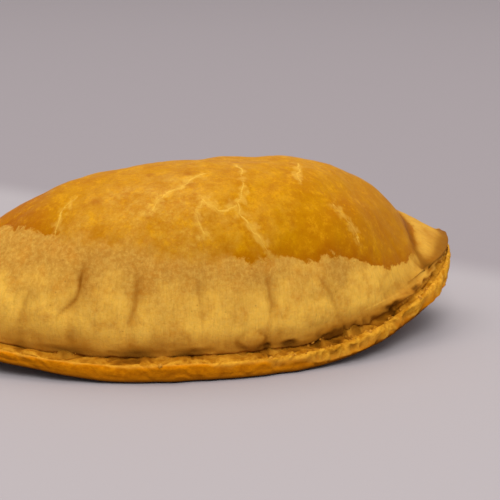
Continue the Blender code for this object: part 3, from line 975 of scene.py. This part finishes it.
# %% Cracks and crackle
def crack_masks(add, place, thickness):
    """Pale cracks with chipped sides on the stored paths, and dark crackle in thin glaze."""
    side = add("Attribute", attribute_name="crack_side", out=2)
    gap = add("Math", {0: side}, operation="ABSOLUTE")
    vary = add("TexNoise", grains(place, 2.5, 3.0))
    width = add("MapRange", between(vary, 0.35, 0.7, 0.12, 0.6))
    share = add("Math", {0: gap, 1: width}, operation="DIVIDE")
    thread = add("MapRange", between(share, 0.0, 1.6, 0.6, 0.0), **SOFT)
    reach_of = add("Attribute", attribute_name="crack_distance", out=2)
    near = add("MapRange", between(reach_of, 0.8, 1.3, 1.0, 0.0))
    line = add("Math", {0: thread, 1: near}, **TIMES)
    chipped = add("MapRange", between(vary, 0.3, 0.7, -1.1, 1.4))
    chipped_reach = add("Math", {0: reach_of, 1: chipped}, **PLUS)
    chips = add("MapRange", between(chipped_reach, 0.0, 1.9, 0.34, 0.0), **SOFT)
    crack = add("Math", {0: line, 1: chips}, operation="MAXIMUM")
    fine = add("TexNoise", grains(place, 4.5, 3.0, 0.6))
    fine_level = add("Math", {0: fine, 1: 0.5}, operation="SUBTRACT")
    fine_away = add("Math", {0: fine_level}, operation="ABSOLUTE")
    fine_line = add("MapRange", between(fine_away, 0.004, 0.03, 1.0, 0.0))
    thinness = add("MapRange", between(thickness, 0.15, 0.8, 0.4, 0.0))
    crackle = add("Math", {0: fine_line, 1: thinness}, **TIMES)
    return crack, crackle


# %% The dough's own colour
# A layer holds its grain in mm, detail, roughness, where it starts and is full, most and colour.
DOUGH_LAYERS = (
    (5.0, 4.0, 0.6, 0.48, 0.66, 0.62, "#C17E24"),
    (1.1, 4.0, 0.7, 0.4, 0.65, 0.46, "#E3B452"),
)
DOUGH_FIBRES = ((0.7, 3.0, 0.7, 0.48, 0.7, 0.3, "#A87428"),)


def dough_colour(add, place):
    """Yellow at the foot and tan above, mottled, with upright fibres and small dark specks."""
    above = add("Attribute", attribute_name="height", out=2)
    patch = add("TexNoise", grains(place, 8.0, 5.0, 0.65))
    patch_by = add("MapRange", between(patch, 0.3, 0.7, -6.5, 6.5))
    level = add("Math", {0: above, 1: patch_by}, **PLUS)
    tan = add("MapRange", between(level, 10.0, 30.0), **SOFT)
    base = add("Mix", shades(tan, "#F1BA48", "#B8802E"), **COLOURS)
    grained = mottled(add, base, place, DOUGH_LAYERS)
    follow_by = add("Attribute", attribute_name="follow", out=1)
    upright = add("VectorMath", {0: follow_by, 1: (1.0, 1.0, 0.25)}, **TIMES)
    fibrous = mottled(add, grained, upright, DOUGH_FIBRES)
    dots = add("TexVoronoi", {"Vector": place, "Scale": per_metre(2.4)})
    dot = add("MapRange", between(dots, 0.05, 0.13, 0.38, 0.0))
    some = add("TexNoise", grains(place, 9.0))
    few = add("MapRange", between(some, 0.45, 0.58))
    speck = add("Math", {0: dot, 1: few}, **TIMES)
    return add("Mix", shades(speck, fibrous, "#7E4E18"), **COLOURS)


# %% The glaze's colour, with clouds, pale flecks and dark speckle as layers
GLAZE_LAYERS = (
    (4.0, 6.0, 0.68, 0.38, 0.66, 0.8, "#AE6D03"),
    (2.6, 6.0, 0.75, 0.5, 0.7, 0.6, "#DE9E12"),
    (0.9, 4.0, 0.8, 0.46, 0.66, 0.42, "#A86402"),
)


def glaze_colour(add, place, dough, thickness, pooled, border):
    """Thin egg lets the dough through; thick egg is amber, browner in clouds and at its border."""
    thin = add("Mix", shades(0.45, dough, "#D29D30"), **COLOURS)
    amber = add("Mix", shades(thickness, thin, "#C08403"), **COLOURS)
    amber = add("Mix", shades(pooled, amber, "#A65F03"), **COLOURS)
    speckled = mottled(add, amber, place, GLAZE_LAYERS)
    border_by = add("Math", {0: border, 1: 0.6}, **TIMES)
    bordered = add("Mix", shades(border_by, speckled, "#984E02"), **COLOURS)
    spots = add("TexVoronoi", {"Vector": place, "Scale": per_metre(9.0)})
    spot = add("MapRange", between(spots, 0.05, 0.22, 0.35, 0.0), **SOFT)
    return add("Mix", shades(spot, bordered, "#8E4208"), **COLOURS)


# %% The whole material
def baked_shortcrust():
    """Shortcrust, baked, its top brushed with egg: dough and glaze in one shader."""
    material, add = empty_material("shortcrust_baked_with_egg_glaze")
    place = add("TexCoord", out=3)
    cover, thickness, pooled, border = glaze_masks(add, place)
    crack, crackle = crack_masks(add, place, thickness)
    dough = dough_colour(add, place)
    glaze = glaze_colour(add, place, dough, thickness, pooled, border)
    cracked = add("Mix", shades(crack, glaze, "#E8BA4C"), **COLOURS)
    veined = add("Mix", shades(crackle, cracked, "#B4701C"), **COLOURS)
    skin = add("Mix", shades(cover, dough, veined), **COLOURS)

    # The pressed edge: broken yellow grains on its lip, a smooth orange outer face.
    torn = add("TexNoise", grains(place, 1.5, 4.0, 0.7))
    follow_by = add("Attribute", attribute_name="follow", out=1)
    lengthwise = add("VectorMath", {0: follow_by, 1: (0.3, 0.3, 1.0)}, **TIMES)
    layers = add("TexNoise", grains(lengthwise, 1.4, 4.0, 0.65))
    uneven = add("Math", {0: torn, 1: layers}, **PLUS)
    uneven_by = add("MapRange", between(uneven, 0.82, 1.18))
    broken = add("Mix", shades(uneven_by, "#B07012", "#DC9E2E"), **COLOURS)
    smooth = add("Mix", shades(uneven_by, "#B86A04", "#D48208"), **COLOURS)
    on_lip = add("Attribute", attribute_name="lip", out=2)
    on_face = add("Attribute", attribute_name="face", out=2)
    lipped = add("Mix", shades(on_lip, skin, broken), **COLOURS)
    edged = add("Mix", shades(on_face, lipped, smooth), **COLOURS)

    # Painted shade, and crust that really browned: the stored share darkens the colour to warm
    # umber, then to near black where the painted shade is deepest.
    shade_and_brown = add("Attribute", attribute_name="shade_and_browning", out=2)
    warm_by = add("MapRange", between(shade_and_brown, 0.04, 0.6, 0.0, 0.85))
    warm = add("Mix", shades(warm_by, edged, "#99590C"), **COLOURS)
    dark_by = add("MapRange", between(shade_and_brown, 0.45, 1.1, 0.0, 0.95))
    colour = add("Mix", shades(dark_by, warm, "#3E1C04"), **COLOURS)

    # Dough is matte; the egg skin shines softly, and its grain shows less. Light sinks in a little.
    roughness = add("MapRange", between(cover, 0.0, 1.0, 0.75, 0.5))
    grain = add("TexNoise", grains(place, 0.8, 5.0, 0.75))
    grain_height = add("MapRange", between(cover, 0.0, 1.0, 1.0, 0.45))
    grain_by = add("Math", {0: grain, 1: grain_height}, **TIMES)
    crack_cut = add("Math", {0: crack, 1: -0.3, 2: grain_by}, operation="MULTIPLY_ADD")
    crackle_cut = add("Math", {0: crackle, 1: -0.3, 2: crack_cut}, operation="MULTIPLY_ADD")
    bump = add("Bump", {"Strength": 0.6, "Distance": 0.0004, "Height": crackle_cut})
    finish = {
        "Base Color": colour,
        "Roughness": roughness,
        "IOR": 1.46,
        "Specular IOR Level": 0.06,
        "Specular Tint": linear("#FFB040"),
        "Subsurface Weight": 0.06,
        "Subsurface Radius": (1.0, 0.5, 0.2),
        "Subsurface Scale": 0.001,
        "Normal": bump,
    }
    surface = add("BsdfPrincipled", finish)
    add("OutputMaterial", {"Surface": surface})
    return material


crust_material = baked_shortcrust()
pie = add_piece("baked_pie_crust", crust, crust_material)
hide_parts("meat_pie")
print("material nodes:", len(crust_material.node_tree.nodes))

# %% [markdown]
# ## Crumbs along the pressed edge
#
# Bits of the lip have crumbled off and lie in the groove. Particles would be lost when the model
# leaves Blender, so the crumbs are one joined mesh: an icosahedron, copied as an array with a size,
# a stretch and a turn drawn for each, and set nearly half into the surface.

# %% Crumb sizes and places
CRUMB_COUNT = 110
CRUMB_SMALLEST, CRUMB_LARGEST, CRUMB_PROUD = 0.16, 0.6, 0.15
CRUMB_FIRST_ROW, CRUMB_LAST_ROW, CRUMB_REACH = 10, GROOVE_ROWS + 16, 68


def icosahedron():
    """The twelve points (0, 1, golden ratio) in turn, scaled to radius 1, and their twenty faces."""
    golden = (1 + 5**0.5) / 2
    first = np.array([(0, a, b * golden) for a in (-1, 1) for b in (-1, 1)])
    points = np.concatenate([np.roll(first, -steps, axis=1) for steps in range(3)])
    spacing = np.linalg.norm(points[:, None] - points[None], axis=2)
    near = (spacing > 0) & (spacing < 2.01)
    trios = combinations(range(12), 3)
    faces = np.array([trio for trio in trios if near[np.ix_(trio, trio)].sum() == 6])
    a, b, c = points[faces].transpose(1, 0, 2)
    inward = (np.cross(b - a, c - a) * a).sum(axis=1) < 0
    faces[inward] = faces[inward][:, ::-1]
    return points / np.linalg.norm(points[0]), faces


def turns(draw, count):
    """Random rotation matrices, from unit quaternions drawn evenly over the sphere."""
    drawn = draw.normal(size=(4, count))
    w, x, y, z = drawn / np.linalg.norm(drawn, axis=0)
    rows = [
        [1 - 2 * (y * y + z * z), 2 * (x * y - w * z), 2 * (x * z + w * y)],
        [2 * (x * y + w * z), 1 - 2 * (x * x + z * z), 2 * (y * z - w * x)],
        [2 * (x * z - w * y), 2 * (y * z + w * x), 1 - 2 * (x * x + y * y)],
    ]
    return np.array(rows).transpose(2, 0, 1)


# %% Scatter the crumbs
def crumb_mesh():
    """Stretched, turned icosahedra on the groove and the lip, most where it is crumbly."""
    draw = np.random.default_rng(SEED + 50)
    zone = (below_foot > CRUMB_FIRST_ROW) & (below_foot < CRUMB_LAST_ROW) & (pressed > 0.9)
    zone = zone & (from_middle < CRUMB_REACH)
    weight = (zone * crumbly**3).ravel()
    chosen = draw.choice(weight.size, CRUMB_COUNT, replace=False, p=weight / weight.sum())
    normal = outward(surface).reshape(-1, 3)[chosen]
    size = mix(CRUMB_SMALLEST, CRUMB_LARGEST, draw.uniform(size=CRUMB_COUNT) ** 4)
    middle = surface.reshape(-1, 3)[chosen] + normal * size[:, None] * CRUMB_PROUD
    points, faces = icosahedron()
    stretch = draw.uniform(0.7, 1.25, size=(CRUMB_COUNT, 1, 3)) * size[:, None, None]
    jitter = draw.uniform(0.7, 1.3, size=(CRUMB_COUNT, 12, 1))
    made = (points * jitter * stretch) @ turns(draw, CRUMB_COUNT) + middle[:, None]
    corners = faces + 12 * np.arange(CRUMB_COUNT)[:, None, None]
    mesh = bpy.data.meshes.new("crumbs")
    mesh.from_pydata((made.reshape(-1, 3) * MM).tolist(), [], corners.reshape(-1, 3).tolist())
    return mesh


# %% The crumb material: the same dough, broken open, so paler and quite matte
def broken_shortcrust():
    """Crumbled shortcrust: dry pale gold, unevenly browned, with no glaze."""
    material, add = empty_material("shortcrust_crumb")
    place = add("TexCoord", out=3)
    toast = add("TexNoise", grains(place, 2.5, 3.0))
    toast_by = add("MapRange", between(toast, 0.35, 0.65))
    colour = add("Mix", shades(toast_by, "#A8680E", "#D2932E"), **COLOURS)
    grain = add("TexNoise", grains(place, 0.3, 3.0))
    bump = add("Bump", {"Strength": 0.5, "Distance": 0.0002, "Height": grain})
    finish = {"Base Color": colour, "Roughness": 0.8, "Specular IOR Level": 0.15, "Normal": bump}
    surface = add("BsdfPrincipled", finish)
    add("OutputMaterial", {"Surface": surface})
    return material


crumbs = add_piece("crust_crumbs", crumb_mesh(), broken_shortcrust())
print("crumbs:", CRUMB_COUNT, "with", len(crumbs.data.polygons), "faces")

# %% [markdown]
# ## Table, light and camera
#
# The pie stands on a plain pale floor in soft studio light. One large lamp hangs almost overhead,
# slightly behind the pie, a smaller one shines from in front, and a pale sky fills the shade. The
# Standard view transform keeps the deep amber as its hex codes say. The camera looks from slightly
# left of the front and 14 degrees above the table, through a long lens.

# %% A pale floor, a little darker behind the pie
FLOOR_HALF = 2.5
FLOOR_PALE, FLOOR_FAR = "#A69EA0", "#938A8D"
FAR_TOWARDS = (0.8, 0.6, 0.0)
FAR_FROM, FAR_FULL = 0.096, 0.124


def make_floor():
    """One square at table height, whose matte colour eases to a greyer one behind, to the right."""
    corners = [(x * FLOOR_HALF, y * FLOOR_HALF, 0) for x, y in ((-1, -1), (1, -1), (1, 1), (-1, 1))]
    mesh = bpy.data.meshes.new("floor")
    mesh.from_pydata(corners, [], [(0, 1, 2, 3)])
    material, add = empty_material("matte_pale_floor")
    place = add("TexCoord", out=3)
    back = add("VectorMath", {0: place, 1: FAR_TOWARDS}, out=1, operation="DOT_PRODUCT")
    far = add("MapRange", between(back, FAR_FROM, FAR_FULL), **SOFT)
    colour = add("Mix", shades(far, FLOOR_PALE, FLOOR_FAR), **COLOURS)
    surface = add("BsdfPrincipled", {"Base Color": colour, "Roughness": 0.9})
    add("OutputMaterial", {"Surface": surface})
    mesh.materials.append(material)
    floor = put("floor", mesh)


make_floor()

# %% Soft studio light
SKY, SKY_STRENGTH = "#EDEDF0", 0.6
LIT_POINT = (0, 0, 0.02)
# Name, place and size in metres, watts and colour.
LAMPS = (
    ("key_light", (-0.05, 0.7, 2.4), 2.2, 33.0, "#FFFBF6"),
    ("front_light", (-0.2, -1.7, 2.1), 1.6, 50.0, "#FFFFFF"),
)


def area_light(name, place, size, watts, colour):
    """A square lamp, turned to face the middle of the pie."""
    data = bpy.data.lights.new(name, "AREA")
    data.size = size
    data.energy = watts
    data.color = linear(colour)[:3]
    lamp = put(name, data)
    lamp.location = place
    towards_pie = Vector(LIT_POINT) - Vector(place)
    lamp.rotation_euler = towards_pie.to_track_quat("-Z", "Y").to_euler()


for lamp in LAMPS:
    area_light(*lamp)

world = bpy.data.worlds.new("studio")
bpy.context.scene.world = world
world.use_nodes = True
background = world.node_tree.nodes["Background"]
background.inputs["Color"].default_value = linear(SKY)
background.inputs["Strength"].default_value = SKY_STRENGTH
bpy.context.scene.view_settings.view_transform = "Standard"

# %% The camera, where the photograph's stood
PHOTO_WIDTH = 500
FOCAL_PIXELS = 1500
AZIMUTH, ELEVATION = -13.9, 14.0
PIE_MIDDLE = (0.0, 0.0, 22.0)
PIE_MIDDLE_PIXEL = (203.6, 257.0)
CAMERA_DISTANCE = 392.3


def make_camera():
    """Stands back from the pie's middle and looks at the point that fills the frame's middle."""
    across, rise = np.radians(AZIMUTH), np.radians(ELEVATION)
    back = np.array([np.sin(across) * np.cos(rise), -np.cos(across) * np.cos(rise), np.sin(rise)])
    right = np.array([np.cos(across), np.sin(across), 0])
    up = np.cross(back, right)
    middle = np.array(PIE_MIDDLE) * shrink + shift
    step = CAMERA_DISTANCE / FOCAL_PIXELS
    aim = middle + right * (PHOTO_WIDTH / 2 - PIE_MIDDLE_PIXEL[0]) * step
    aim = aim - up * (PHOTO_WIDTH / 2 - PIE_MIDDLE_PIXEL[1]) * step
    place = middle + back * CAMERA_DISTANCE
    data = bpy.data.cameras.new("camera")
    data.sensor_width = 36
    data.lens = FOCAL_PIXELS / PHOTO_WIDTH * data.sensor_width
    camera = put("camera", data)
    camera.location = place * MM
    camera.rotation_euler = Vector(aim - place).to_track_quat("-Z", "Y").to_euler()
    bpy.context.scene.camera = camera


make_camera()
